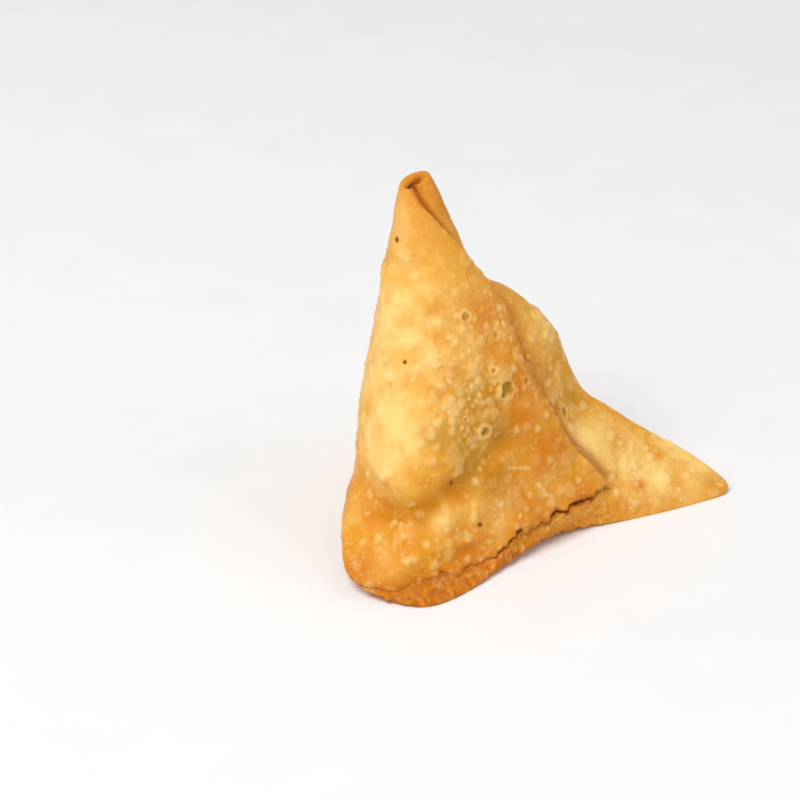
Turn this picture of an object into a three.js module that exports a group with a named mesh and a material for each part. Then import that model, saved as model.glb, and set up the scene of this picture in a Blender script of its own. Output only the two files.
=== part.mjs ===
// A deep-fried samosa, standing on its sealed base.
// One cone of thin dough with three corners at its foot: a broad rounded one at the front left,
// a pointed one at the right and a folded one at the back. Millimetres, +Z up, front towards -Y.
// Bearings are degrees round the upright axis, from +X towards +Y.

import * as THREE from 'three';

// Driving dimensions
const HEIGHT = 72.4;
const BASE_REACH = 52;
const DOUGH = 1.7;

// Heights at which the form changes
const GROUND = 0;
const LIP = 3;
const FLANGE = 8;
const WAIST = 15;
const BELLY = 22;
const MIDDLE = 32;
const SHOULDER = 40;
const BROW = 46;
const NECK = 52;
const STALK = 59;
const COLLAR = 67;
const TIP = HEIGHT;

// Profiles against height: each pair is a height and a distance or bearing there
const AXIS_X = [[GROUND, -1.3], [MIDDLE, -9], [NECK, -9.7], [TIP, -11.1]];
const AXIS_Y = [[GROUND, -4.2], [MIDDLE, 2.4], [NECK, 6.6], [TIP, 10.5]];
const CORE = [[GROUND, 7], [WAIST, 13.2], [MIDDLE, 12.8], [BROW, 10], [STALK, 6.2], [COLLAR, 4.3],
  [TIP, 2.2]];

const LOBE = {
  bearing: [[GROUND, 201.5], [BELLY, 190.5], [NECK, 200]],
  reach: [[GROUND, 37.8], [LIP, 40.2], [FLANGE, 31], [WAIST, 24.2], [BELLY, 21.8], [MIDDLE, 17],
    [BROW, 11.2], [NECK, 9.2], [STALK, 5.3], [TIP, 1.8]],
  width: [[GROUND, 10.3], [LIP, 14.8], [FLANGE, 20.9], [BELLY, 16.5], [NECK, 9], [TIP, 2]],
  power: [[GROUND, 3.7], [BELLY, 2.3], [TIP, 2]],
};

const WING = {
  bearing: [[GROUND, 331.5], [LIP, 335], [FLANGE, 341], [BROW, 354]],
  reach: [[GROUND, BASE_REACH], [LIP, 49.2], [FLANGE, 43.1], [WAIST, 35.2], [BELLY, 29],
    [SHOULDER, 22.6], [BROW, 16.8], [NECK, 7.8], [STALK, 4.9], [TIP, 1.8]],
  width: [[GROUND, 12.2], [FLANGE, 14], [BELLY, 13.4], [SHOULDER, 10], [NECK, 6.8], [TIP, 2]],
  power: [[GROUND, 1.05], [FLANGE, 1.25], [BELLY, 1.4], [BROW, 2]],
};

const PLEAT = {
  bearing: [[GROUND, 88], [SHOULDER, 84]],
  reach: [[GROUND, 31], [LIP, 30], [FLANGE, 27], [MIDDLE, 20.3], [BROW, 12], [NECK, 9],
    [STALK, 5.3], [TIP, 1.8]],
  width: [[GROUND, 17], [BELLY, 13.6], [NECK, 7.6], [TIP, 2]],
  power: [[GROUND, 1.5], [MIDDLE, 1.8], [NECK, 2]],
};

// The flat front face, as a plane that trims the corners. It turns a little towards the foot
const FRONT_BEARING = [[GROUND, 268], [LIP, 260.5], [FLANGE, 268]];
const FRONT = [[GROUND, 22.8], [LIP, 18.5], [FLANGE, 16], [BELLY, 14.1], [SHOULDER, 11.6], [TIP, 6]];
const CORNER_BLEND = 7;
const FRONT_BLEND = 9;
const BACK_SHARE = 0.7;

// The lapped edge of the front flap runs from the foot to the rolled tip
const SEAM = [[GROUND, 320], [FLANGE, 320], [BELLY, 319], [MIDDLE, 316], [SHOULDER, 314], [NECK, 320],
  [STALK, 305], [COLLAR, 260], [TIP, 206]];
const FLAP_RISE = [[GROUND, DOUGH], [BROW, DOUGH], [STALK, 0.7 * DOUGH], [TIP, 0.5 * DOUGH]];
const SEAM_GROOVE = [[GROUND, 0.3], [BROW, 0.5], [STALK, 0.8], [TIP, 1.1]];
const FLAP_EDGE = 1.2;
const FLAP_REACH = 6;
const FLAP_FADE = [14, 44];

// The open seam under the flap: its height above the ground, its depth and how far the lip lifts,
// each against bearing
const CRACK_HEIGHT = [
  [0, 5], [90, 4], [180, 2.6], [205, 2.4], [213, 2.4], [222, 2.5], [230, 2.9], [238, 3.7], [246, 5],
  [256, 6], [285, 6.2], [306, 6.6], [320, 7.1], [326, 6.8], [360, 5],
];
const CRACK_DEPTH = [[0, 0], [30, 0.5], [150, 0.5], [192, 1.2], [205, 2], [300, 2.2], [320, 1.8],
  [327, 0], [360, 0]];
const LIP_LIFT = [[0, 0], [235, 0], [258, 0.5], [284, 1.2], [304, 0.8], [322, 0], [360, 0]];
const CRACK_GAP = 0.6;
const LIP_EDGE = 0.5;
const FLAP_OVERHANG = 0.3;

// The rim of the base: how round it is and how far inside it the flat part ends
const RIM_ROUND = 0.9;
const BASE_INSET = 4;

// The rolled tip: its top slants, and a small hollow runs down inside the roll
const RIM_TILT = 0.9;
const RIM_TILT_BEARING = 20;
const TIP_HOLE_DEPTH = 4;
const TIP_HOLE_SHARE = 0.3;
const TIP_HOLE_BEARING = 212;
const TIP_HOLE_SHIFT = 0.9;
const TIP_RIM_RISE = 0.35;

// Swellings and hollows of the skin: bearing, height, half width and rise. A hollow's rise is below
// zero.
const SWELLS = [
  { name: 'belly', bearing: 201, height: 21.5, reach: 7, rise: 2.1 },
  { name: 'bellyUnderside', bearing: 190, height: 12.5, reach: 3, rise: -0.8 },
  { name: 'bellySide', bearing: 206, height: 13.8, reach: 2.8, rise: -0.8 },
  { name: 'smallSwell', bearing: 219, height: 13, reach: 2.8, rise: 1.9 },
  { name: 'sideSwell', bearing: 234, height: 13.2, reach: 3, rise: 0.8 },
  { name: 'cheek', bearing: 231, height: 33, reach: 9, rise: 0.8 },
  { name: 'flangeHollow', bearing: 240, height: 12, reach: 5, rise: -0.7 },
  { name: 'shoulderHollow', bearing: 334, height: 21, reach: 4.5, rise: -1 },
  { name: 'wingSwell', bearing: 334, height: 6, reach: 7, rise: 0.9 },
  { name: 'shoulderSwell', bearing: 345, height: 38, reach: 6, rise: 0.8 },
  { name: 'rightSwell', bearing: 30, height: 20, reach: 8, rise: 1.2 },
  { name: 'backSwell', bearing: 130, height: 19, reach: 8, rise: 1.5 },
  { name: 'backHollow', bearing: 110, height: 34, reach: 5, rise: -0.9 },
];
const DENT = { from: [272, 24], to: [221, 17.5], reach: 2.2, rise: -1.3 };
const VALLEY = { offset: 8, from: FLANGE, to: BROW, reach: 5, rise: -0.9 };

// Burst bubbles and round blisters that show most on the front
const CRATERS = [
  { bearing: 287, height: 33.7, radius: 2.1 },
  { bearing: 257, height: 27.3, radius: 1.8 },
  { bearing: 265, height: 48.9, radius: 1.5 },
  { bearing: 279, height: 38, radius: 1.2 },
];
const FRONT_BLISTERS = [
  { bearing: 226, height: 42.4, radius: 2.2 },
  { bearing: 228, height: 38.2, radius: 1.7 },
  { bearing: 259, height: 39.4, radius: 2.2 },
  { bearing: 234, height: 34.6, radius: 2.1 },
  { bearing: 225, height: 31.8, radius: 1.6 },
  { bearing: 271, height: 30.4, radius: 1.9 },
  { bearing: 330, height: 19.2, radius: 1.7 },
  { bearing: 230, height: 21.7, radius: 1.9 },
];
const BLISTER_RISE = 0.24;
const CRATER_RIM = 0.45;
const CRATER_DEPTH = 0.7;

// Blisters all over, spread by a rule
const SPREAD = { count: 90, low: 7, high: 60, small: 1.4, large: 2.9 };

// How fine the skin is cut
const COLUMNS = 108;
const FRONT_WEIGHT = 1.75;
const FRONT_FROM = 185;
const FRONT_TO = 345;
const FINE_STEPS = 1440;
const LAST_TURN = 360 - 0.35;
const ROWS_ABOVE = 42;
const LOW_ROWS = 5;
const EVEN_FROM = FLANGE + 5;

const CRUST = { color: '#e6a848', roughness: 0.5, metalness: 0 };

const radians = THREE.MathUtils.degToRad;
const smooth = THREE.MathUtils.smoothstep;
const wrapped = (angle) => ((angle % 360) + 360) % 360;
const shortWay = (angle) => wrapped(angle + 180) - 180;
const bell = (distance, reach) => Math.exp(-((distance / reach) ** 2));

// A smooth curve through the pairs of a profile, with no overshoot between them
function profile(pairs) {
  const last = pairs.length - 1;
  const step = pairs.slice(1).map((pair, i) => pair[0] - pairs[i][0]);
  const slope = step.map((width, i) => (pairs[i + 1][1] - pairs[i][1]) / width);
  const tangent = pairs.map((_, i) => {
    if (i === 0) return slope[0];
    if (i === last) return slope[last - 1];
    if (slope[i - 1] * slope[i] <= 0) return 0;
    const before = 2 * step[i] + step[i - 1];
    const after = step[i] + 2 * step[i - 1];
    return (before + after) / (before / slope[i - 1] + after / slope[i]);
  });
  return (at) => {
    const x = THREE.MathUtils.clamp(at, pairs[0][0], pairs[last][0]);
    let i = 0;
    while (i < last - 1 && x > pairs[i + 1][0]) i += 1;
    const t = (x - pairs[i][0]) / step[i];
    const rise = t * t * (3 - 2 * t);
    return pairs[i][1] * (1 - rise) + pairs[i + 1][1] * rise
      + step[i] * t * (1 - t) * (tangent[i] * (1 - t) - tangent[i + 1] * t);
  };
}

const axisX = profile(AXIS_X);
const axisY = profile(AXIS_Y);
const core = profile(CORE);
const front = profile(FRONT);
const frontBearing = profile(FRONT_BEARING);
const seam = profile(SEAM);
const flapRise = profile(FLAP_RISE);
const seamGroove = profile(SEAM_GROOVE);
const crackHeight = profile(CRACK_HEIGHT);
const crackDepth = profile(CRACK_DEPTH);
const lipLift = profile(LIP_LIFT);

// The outline of one corner at a height, as a pointed or rounded oval about its bearing
function corner({ bearing, reach, width, power }) {
  const at = {
    bearing: profile(bearing), reach: profile(reach), width: profile(width), power: profile(power),
  };
  return (direction, height) => {
    const turn = radians(direction - at.bearing(height));
    const side = at.width(height);
    const ahead = Math.cos(turn) > 0 ? at.reach(height) : BACK_SHARE * side;
    const p = at.power(height);
    const share = Math.abs(Math.cos(turn) / ahead) ** p + Math.abs(Math.sin(turn) / side) ** p;
    return share ** (-1 / p);
  };
}
const corners = [LOBE, WING, PLEAT].map(corner);
const cornerBearings = [WING, PLEAT, LOBE].map(({ bearing }) => profile(bearing));
const cornerTurns = [0, ...cornerBearings.map((bearing) => wrapped(bearing(FLANGE) - seam(FLANGE))), 360];

// Distance of the plain form from the axis
function formRadius(direction, height) {
  const parts = [core(height), ...corners.map((shape) => shape(direction, height))];
  const blended = parts.reduce((sum, part) => sum + part ** CORNER_BLEND, 0) ** (1 / CORNER_BLEND);
  const facing = Math.max(Math.cos(radians(direction - frontBearing(height))), 1e-3);
  const plane = front(height) / facing;
  return (blended ** -FRONT_BLEND + plane ** -FRONT_BLEND) ** (-1 / FRONT_BLEND);
}

function place(direction, height, radius) {
  const turn = radians(direction);
  return new THREE.Vector3(
    axisX(height) + radius * Math.cos(turn),
    axisY(height) + radius * Math.sin(turn),
    height,
  );
}
const onForm = (direction, height) => place(direction, height, formRadius(direction, height));

// Blisters all over, at even but irregular places
function spreadBlisters() {
  const share = (k, factor, start) => (k * factor + start) % 1;
  return Array.from({ length: SPREAD.count }, (_, k) => {
    const height = SPREAD.low + (SPREAD.high - SPREAD.low) * share(k, 0.7549, 0.3) ** 1.3;
    const radius = SPREAD.small + (SPREAD.large - SPREAD.small) * share(k, 0.5698, 0.1) ** 2;
    return { bearing: 360 * share(k, 0.618, 0.05), height, radius };
  });
}
const placed = (spot) => ({ ...spot, centre: onForm(spot.bearing, spot.height) });
const swells = SWELLS.map(placed);
const craters = CRATERS.map(placed);
const blisters = [...FRONT_BLISTERS, ...spreadBlisters()].map(placed);
const dent = new THREE.Line3(onForm(...DENT.from), onForm(...DENT.to));

// Slow unevenness of hand-folded dough
function unevenness({ x, y, z }) {
  return 0.35 * Math.sin(x / 4.3 + 1.3) * Math.sin(y / 5.1 + z / 6.3)
    + 0.2 * Math.sin(x / 2.3 - z / 3.1) * Math.sin(y / 2.9 + 0.7);
}

// A ragged line: the crack wanders up and down along its length
function ragged(direction) {
  return 0.35 * Math.sin(radians(direction) * 23) + 0.25 * Math.sin(radians(direction) * 41 + 1);
}

// Everything that stands out from the plain form or sinks into it
function relief(direction, height) {
  const point = onForm(direction, height);
  let rise = unevenness(point) * smooth(height, GROUND, FLANGE) * (1 - smooth(height, NECK, TIP));
  for (const swell of swells) {
    rise += swell.rise * bell(point.distanceTo(swell.centre), swell.reach);
  }
  const nearest = dent.closestPointToPoint(point, true, new THREE.Vector3());
  rise += DENT.rise * bell(point.distanceTo(nearest), DENT.reach);
  const beyondSeam = radians(shortWay(direction - seam(height))) * formRadius(direction, height);
  const valley = bell(beyondSeam - VALLEY.offset, VALLEY.reach);
  const inReach = smooth(height, VALLEY.from, BELLY) * (1 - smooth(height, SHOULDER, VALLEY.to));
  rise += VALLEY.rise * valley * inReach;
  for (const { centre, radius } of blisters) {
    const away = point.distanceTo(centre) / radius;
    if (away < 1) rise += BLISTER_RISE * radius * (1 - away * away) ** 1.5;
  }
  for (const { centre, radius } of craters) {
    const away = point.distanceTo(centre) / radius;
    rise += CRATER_RIM * bell(away - 1, 0.4) - CRATER_DEPTH * bell(away, 0.6);
  }
  return rise;
}

// How far the flap stands out, from its edge back to where the layers merge
function flapThickness(back, height) {
  const thickness = flapRise(height) * (0.4 + 0.6 * bell(back, FLAP_REACH));
  return thickness * (1 - smooth(back, ...FLAP_FADE)) * smooth(back, -0.1, FLAP_EDGE);
}

// The direction of a column of points at a height. Columns keep to the seam and to the corners.
function columnDirection(turn, height) {
  const marks = [0, ...cornerBearings.map((bearing) => wrapped(bearing(height) - seam(height))), 360];
  let i = 0;
  while (turn > cornerTurns[i + 1]) i += 1;
  const share = (turn - cornerTurns[i]) / (cornerTurns[i + 1] - cornerTurns[i]);
  return seam(height) + marks[i] + (marks[i + 1] - marks[i]) * share;
}

// Distance of the skin from the axis, above the crack
function skinRadius(direction, height) {
  const turn = wrapped(direction - seam(height));
  const form = formRadius(direction, height);
  const back = radians(360 - turn) * form;
  const ahead = radians(turn) * form;
  return form + relief(direction, height) + flapThickness(back, height)
    - seamGroove(height) * bell(ahead, DOUGH);
}

// The way round from the seam of each column, spaced by length along the foot and closer in front
function columnTurns() {
  const lengths = [0];
  for (let i = 1; i <= FINE_STEPS; i += 1) {
    const [from, to] = [i - 1, i].map((k) => wrapped(seam(FLANGE) + (360 * k) / FINE_STEPS));
    const weight = to > FRONT_FROM && to < FRONT_TO ? FRONT_WEIGHT : 1;
    lengths.push(lengths[i - 1] + weight * onForm(from, FLANGE).distanceTo(onForm(to, FLANGE)));
  }
  const turns = [];
  let i = 0;
  for (let column = 0; column < COLUMNS - 1; column += 1) {
    const wanted = (lengths[FINE_STEPS] * column) / (COLUMNS - 1);
    while (lengths[i + 1] < wanted) i += 1;
    const share = (wanted - lengths[i]) / (lengths[i + 1] - lengths[i]);
    turns.push((360 * (i + share)) / FINE_STEPS);
  }
  return [...turns, LAST_TURN];
}

const crackAt = (direction) => {
  const wander = ragged(direction) * Math.min(crackDepth(direction), 1);
  return crackHeight(direction) + wander;
};
const flapEdge = (direction) => crackAt(direction) + CRACK_GAP;

// The rows of the foot, from under the rim of the base up to the edge of the flap. Each gives a
// height for a direction, and a radius for a direction and height.
function footRows() {
  const lipLow = (direction) => lipLift(direction) + RIM_ROUND;
  const lipTop = (direction) => crackAt(direction) - LIP_EDGE;
  const lipMiddle = (direction) => (lipLow(direction) + lipTop(direction)) / 2;
  const skin = (direction, height) => formRadius(direction, height) + relief(direction, height);
  const floor = (direction, height) => skin(direction, height) - crackDepth(direction);
  const edge = (direction, height) => {
    const open = Math.min(crackDepth(direction), 1);
    return skinRadius(direction, height) + FLAP_OVERHANG * open;
  };
  return [
    { height: (direction) => lipLift(direction) / 3, radius: (...spot) => skin(...spot) - BASE_INSET },
    { height: lipLift, radius: (...spot) => skin(...spot) - RIM_ROUND },
    { height: lipLow, radius: skin },
    { height: lipMiddle, radius: skin },
    { height: lipTop, radius: skin },
    { height: crackAt, radius: floor },
    { height: (direction) => crackAt(direction) + CRACK_GAP / 2, radius: floor },
    { height: flapEdge, radius: edge },
  ];
}

// The top of the roll leans, and its hollow lies to one side
const rimTilt = (direction) => RIM_TILT * Math.cos(radians(direction - RIM_TILT_BEARING));
const holeWay = new THREE.Vector3(
  TIP_HOLE_SHIFT * Math.cos(radians(TIP_HOLE_BEARING)),
  TIP_HOLE_SHIFT * Math.sin(radians(TIP_HOLE_BEARING)),
  0,
);

// The flat of the base, inside its rim
function baseRow(share, turns) {
  return turns.map((turn) => {
    const direction = columnDirection(turn, GROUND);
    return place(direction, GROUND, (formRadius(direction, GROUND) - BASE_INSET) * share);
  });
}

function footRow({ height, radius }, turns) {
  return turns.map((turn) => {
    const level = height(wrapped(columnDirection(turn, LIP)));
    const direction = wrapped(columnDirection(turn, level));
    return place(direction, level, radius(direction, level));
  });
}

// Rows above the flap's edge start along it and are level from the waist up
function bodyRow(k, turns) {
  const level = EVEN_FROM + ((TIP - EVEN_FROM) * (k - LOW_ROWS)) / (ROWS_ABOVE - LOW_ROWS);
  return turns.map((turn) => {
    const start = flapEdge(wrapped(columnDirection(turn, LIP)));
    const height = k < LOW_ROWS ? start + ((EVEN_FROM - start) * k) / LOW_ROWS : level;
    const direction = columnDirection(turn, height);
    const point = place(direction, height, skinRadius(direction, height));
    point.z += rimTilt(direction) * smooth(height, COLLAR, TIP);
    return point;
  });
}

function tipRow({ share, rise, shift }, turns) {
  return turns.map((turn) => {
    const direction = columnDirection(turn, TIP);
    const point = place(direction, TIP, skinRadius(direction, TIP) * share);
    point.z += rimTilt(direction) + rise;
    return point.addScaledVector(holeWay, shift);
  });
}

// All rows of points, from the flat base to the bottom of the hollow in the rolled tip
function skinRows() {
  const turns = columnTurns();
  const base = [1 / 3, 2 / 3].map((share) => baseRow(share, turns));
  const foot = footRows().map((row) => footRow(row, turns));
  const body = Array.from({ length: ROWS_ABOVE }, (_, k) => bodyRow(k + 1, turns));
  const tip = [
    { share: 0.85, rise: TIP_RIM_RISE, shift: 0 },
    { share: TIP_HOLE_SHARE, rise: 0, shift: 1 },
    { share: 0.7 * TIP_HOLE_SHARE, rise: -0.6 * TIP_HOLE_DEPTH, shift: 1 },
  ].map((row) => tipRow(row, turns));
  return [...base, ...foot, ...body, ...tip];
}

// One closed skin: a fan under the base, a band between each two rows and a fan in the tip
function closedSkin(rows) {
  const baseCentre = place(0, GROUND, 0);
  const hollowEnd = place(0, TIP, 0).add(holeWay);
  hollowEnd.z -= TIP_HOLE_DEPTH;
  const points = [...rows.flat(), baseCentre, hollowEnd];
  const under = points.indexOf(baseCentre);
  const inside = points.indexOf(hollowEnd);
  const last = rows.length - 1;
  const at = (row, column) => row * COLUMNS + (column % COLUMNS);
  const span = (a, b) => points[a].distanceTo(points[b]);
  const index = [];
  for (let column = 0; column < COLUMNS; column += 1) {
    for (let row = 0; row < last; row += 1) {
      const [a, b] = [at(row, column), at(row, column + 1)];
      const [d, c] = [at(row + 1, column), at(row + 1, column + 1)];
      const halves = span(a, c) < span(b, d) ? [a, b, c, a, c, d] : [a, b, d, b, c, d];
      index.push(...halves);
    }
    index.push(under, at(0, column + 1), at(0, column));
    index.push(inside, at(last, column), at(last, column + 1));
  }
  const geometry = new THREE.BufferGeometry().setFromPoints(points);
  geometry.setIndex(index);
  geometry.computeVertexNormals();
  return geometry;
}

const samosa = new THREE.Mesh(closedSkin(skinRows()), new THREE.MeshStandardMaterial(CRUST));
samosa.name = 'samosa';

const part = new THREE.Group();
part.add(samosa);

export default part;
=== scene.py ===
"""Dresses a samosa: fried wheat dough with blisters, burst bubbles, a lapped flap and a crumbly lip."""
import math

import bpy
import numpy as np
from mathutils import Matrix, Vector, noise


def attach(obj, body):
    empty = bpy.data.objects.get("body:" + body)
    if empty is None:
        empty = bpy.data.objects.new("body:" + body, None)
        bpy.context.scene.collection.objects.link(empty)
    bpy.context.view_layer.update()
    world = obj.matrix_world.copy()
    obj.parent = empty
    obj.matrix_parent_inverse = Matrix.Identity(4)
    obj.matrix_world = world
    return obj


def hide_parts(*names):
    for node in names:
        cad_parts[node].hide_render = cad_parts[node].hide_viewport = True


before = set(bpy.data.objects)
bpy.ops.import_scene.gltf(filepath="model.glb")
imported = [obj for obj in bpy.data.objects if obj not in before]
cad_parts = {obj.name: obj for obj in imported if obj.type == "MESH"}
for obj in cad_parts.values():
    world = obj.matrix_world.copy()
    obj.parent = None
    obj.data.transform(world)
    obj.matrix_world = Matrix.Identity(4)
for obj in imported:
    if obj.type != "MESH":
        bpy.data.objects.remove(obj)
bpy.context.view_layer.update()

bl_info = {
    "name": "Fried samosa",
    "version": (1, 0, 0),
    "blender": (4, 5, 0),
    "location": "View3D > Sidebar > Samosa",
    "description": "Builds the blistered crust of a samosa and a plain studio round it",
    "category": "Object",
}

MM = 0.001

# The form in millimetres and degrees, as in the part's source but with a finer flap, crack and roll
HEIGHT = 72.4
BASE_REACH = 52.0
DOUGH = 1.7
GROUND, LIP, FLANGE, WAIST, BELLY, MIDDLE = 0.0, 3.0, 8.0, 15.0, 22.0, 32.0
SHOULDER, BROW, NECK, STALK, COLLAR, TIP = 40.0, 46.0, 52.0, 59.0, 67.0, HEIGHT

AXIS_X = [(GROUND, -1.3), (MIDDLE, -9), (NECK, -9.7), (TIP, -11.1)]
AXIS_Y = [(GROUND, -4.2), (MIDDLE, 2.4), (NECK, 6.6), (TIP, 10.5)]
CORE = [(GROUND, 7), (WAIST, 13.2), (MIDDLE, 12.8), (BROW, 10), (STALK, 6.2), (COLLAR, 4.3), (TIP, 2.2)]
LOBE = {
    "bearing": [(GROUND, 201.5), (BELLY, 190.5), (NECK, 200)],
    "reach": [(GROUND, 37.8), (LIP, 40.2), (FLANGE, 31), (WAIST, 24.2), (BELLY, 21.8), (MIDDLE, 17),
              (BROW, 11.2), (NECK, 9.2), (STALK, 5.3), (TIP, 1.8)],
    "width": [(GROUND, 10.3), (LIP, 14.8), (FLANGE, 20.9), (BELLY, 16.5), (NECK, 9), (TIP, 2)],
    "power": [(GROUND, 3.7), (BELLY, 2.3), (TIP, 2)],
}
WING = {
    "bearing": [(GROUND, 331.5), (LIP, 335), (FLANGE, 341), (BROW, 354)],
    "reach": [(GROUND, BASE_REACH), (LIP, 49.2), (FLANGE, 43.1), (WAIST, 35.2), (BELLY, 29),
              (SHOULDER, 22.6), (BROW, 16.8), (NECK, 7.8), (STALK, 4.9), (TIP, 1.8)],
    "width": [(GROUND, 12.2), (FLANGE, 14), (BELLY, 13.4), (SHOULDER, 10), (NECK, 6.8), (TIP, 2)],
    "power": [(GROUND, 1.05), (FLANGE, 1.25), (BELLY, 1.4), (BROW, 2)],
}
PLEAT = {
    "bearing": [(GROUND, 88), (SHOULDER, 84)],
    "reach": [(GROUND, 31), (LIP, 30), (FLANGE, 27), (MIDDLE, 20.3), (BROW, 12), (NECK, 9),
              (STALK, 5.3), (TIP, 1.8)],
    "width": [(GROUND, 17), (BELLY, 13.6), (NECK, 7.6), (TIP, 2)],
    "power": [(GROUND, 1.5), (MIDDLE, 1.8), (NECK, 2)],
}
FRONT_BEARING = [(GROUND, 268), (LIP, 260.5), (FLANGE, 268)]
FRONT = [(GROUND, 22.8), (LIP, 18.5), (FLANGE, 16), (BELLY, 14.1), (SHOULDER, 11.6), (TIP, 6)]
CORNER_BLEND, FRONT_BLEND, BACK_SHARE = 7.0, 9.0, 0.7

SEAM = [(GROUND, 320), (FLANGE, 320), (BELLY, 319), (MIDDLE, 316), (SHOULDER, 314), (NECK, 320),
        (STALK, 305), (COLLAR, 260), (TIP, 206)]
FLAP_RISE = [(GROUND, DOUGH), (BELLY, 1.2 * DOUGH), (BROW, 1.2 * DOUGH), (STALK, 0.7 * DOUGH),
             (TIP, 0.5 * DOUGH)]
SEAM_GROOVE = [(GROUND, 0.5), (FLANGE, 1), (BELLY, 1.3), (BROW, 1.3), (STALK, 0.5), (COLLAR, 1.2), (TIP, 2)]
GROOVE_WIDTH = [(GROUND, 0.6), (FLANGE, 0.8), (MIDDLE, 1), (STALK, 0.9), (COLLAR, 1.0), (TIP, 1.5)]
FLAP_EDGE, FLAP_REACH, FLAP_THIN, FLAP_FADE = 1.0, 6.0, 0.4, (14.0, 44.0)

CRACK_HEIGHT = [(0, 5), (90, 4), (180, 2.6), (205, 2.4), (213, 2.4), (222, 2.5), (230, 2.9), (238, 3.7),
                (246, 5), (256, 6), (285, 6.2), (306, 6.6), (320, 7.1), (326, 6.8), (360, 5)]
CRACK_DEPTH = [(0, 0), (30, 0.4), (190, 0.5), (210, 0.8), (226, 0.6), (240, 0.7), (257, 1.1), (270, 0.9),
               (282, 1.2), (300, 1.5), (318, 1.2), (327, 0), (360, 0)]
LIP_LIFT = [(0, 0), (235, 0), (258, 0.5), (284, 1.2), (304, 0.8), (322, 0), (360, 0)]
CRACK_GAP = [(0, 0.3), (195, 0.4), (225, 0.55), (255, 0.5), (266, 0.15), (275, 0.5), (290, 1.3), (314, 1.7),
             (323, 0.7), (360, 0.3)]
FLAP_OVERHANG = [(0, 0.2), (255, 0.2), (290, 0.1), (318, 0.3), (327, 0.1), (360, 0.2)]
LIP_EDGE, FLAP_TUCK = 0.6, 0.2
RIM_ROUND, BASE_INSET = 0.9, 4.0

RIM_TILT, RIM_TILT_BEARING, TIP_RIM_RISE = 1.1, 345.0, 0.1
TIP_HOLE_DEPTH, TIP_HOLE_SHARE, TIP_HOLE_BEARING, TIP_HOLE_SHIFT = 4.0, 0.42, 212.0, 0.7
# How deep the roll's top dips and how dark the painted shade is where its hollow starts
ROLL_DIP, ROLL_SHADE = 0.5, 0.7
# How far inside the crack the painted shade starts and is full
SHADE_INSET = (0.25, 1.3)

# Swellings and hollows: bearing, height, reach and rise
SWELLS = {
    "belly": (201, 21.5, 7, 2.1),
    "belly underside": (190, 12.5, 3, -0.8),
    "belly side": (206, 13.8, 2.8, -0.8),
    "small swell": (219, 13, 2.8, 1.9),
    "side swell": (234, 13.2, 3, 0.8),
    "cheek": (231, 33, 9, 0.8),
    "flange hollow": (240, 12, 5, -0.7),
    "shoulder hollow": (334, 21, 4.5, -1),
    "wing swell": (334, 6, 7, 0.9),
    "shoulder swell": (345, 38, 6, 0.8),
    "right swell": (30, 20, 8, 1.2),
    "back swell": (130, 19, 8, 1.5),
    "back hollow": (110, 34, 5, -0.9),
}
DENT_FROM, DENT_TO, DENT_REACH, DENT_RISE = (272, 24), (221, 17.5), 2.2, -1.3
VALLEY_OFFSET, VALLEY_FROM, VALLEY_TO, VALLEY_REACH, VALLEY_RISE = 8.0, FLANGE, BROW, 5.0, -0.9

# Burst bubbles, each a pale ring round a hollow: bearing, height and radius
RINGS = [(287, 33.7, 2.3), (257, 27.3, 1.6), (265, 48.9, 1.2), (279, 38, 0.8), (314, 40.5, 0.9),
         (306, 33.7, 0.9), (332.5, 22.3, 1.5), (244, 30.9, 0.6), (292, 44, 0.8), (281, 25, 0.6)]
# Whole blisters that show most: bearing, height and radius
DOMES = [(225.7, 42.4, 2.1), (229, 38.2, 1.7), (234, 34.6, 2.1), (224.8, 31.8, 1.5), (259, 39.4, 2.2),
         (262, 37.4, 1.6), (298, 37.1, 1), (270.6, 30.4, 1.9), (260, 34.6, 0.9), (237, 38.8, 0.9),
         (234, 31.5, 1.1), (235.5, 48.9, 1.3), (243, 46.1, 1), (247, 45.3, 0.8), (286, 46.1, 1.1),
         (303.6, 45.2, 1), (274.4, 48, 0.8), (285, 25.6, 1.1), (310, 26.2, 1.1), (336, 25.6, 0.9),
         (329.5, 19.2, 1.7), (229.6, 21.7, 1.9), (238, 18.3, 1.3), (205, 16.4, 0.6), (180.4, 11.3, 0.6),
         (194, 11.5, 0.9), (197.7, 11.7, 0.8), (200, 10.3, 1.2), (189, 8.6, 1.1), (208.6, 9.3, 1.2),
         (202.6, 7, 1.4), (188, 5.3, 1.4), (209, 4.9, 1.5), (249, 12.4, 1.1), (257.7, 9.1, 0.7),
         (284, 13.6, 0.8), (230, 12.4, 1.4), (224, 8.8, 1.6), (331, 5.3, 2.4), (332, 8.7, 1.4),
         (335.3, 5, 0.8), (325, 8.5, 1.2), (327, 6, 0.8), (328.5, 7, 0.7), (322, 3, 1), (336, 13, 1.2)]
# Ajwain seeds: bearing and height
AJWAIN = [(176.5, 62.1), (202.9, 41.6), (224.1, 19.5), (231.4, 10.3), (30, 28), (140, 40), (60, 18)]
# A pale scratch under the dent: bearing and height of its ends
SCRATCH_FROM, SCRATCH_TO = (265.6, 19.2), (283, 17.5)
# Where fine blisters crowd: bearing, height, reach and how thickly they lie
CROWDS = [(258, 38, 9, 1), (250, 30, 8, 1), (286, 35, 7, 0.8), (228, 39, 8, 0.7), (292, 45, 7, 0.9),
          (310, 36, 5, 0.7), (200, 9, 8, 0.25), (215, 5, 8, 0.25), (250, 10, 9, 0.3), (333, 10, 10, 0.3),
          (345, 38, 8, 0.9), (335, 28, 6, 0.8), (330, 18, 6, 0.3), (30, 30, 12, 0.7), (60, 14, 10, 0.6),
          (110, 40, 10, 0.8), (135, 20, 11, 0.6), (0, 18, 9, 0.5)]
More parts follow.
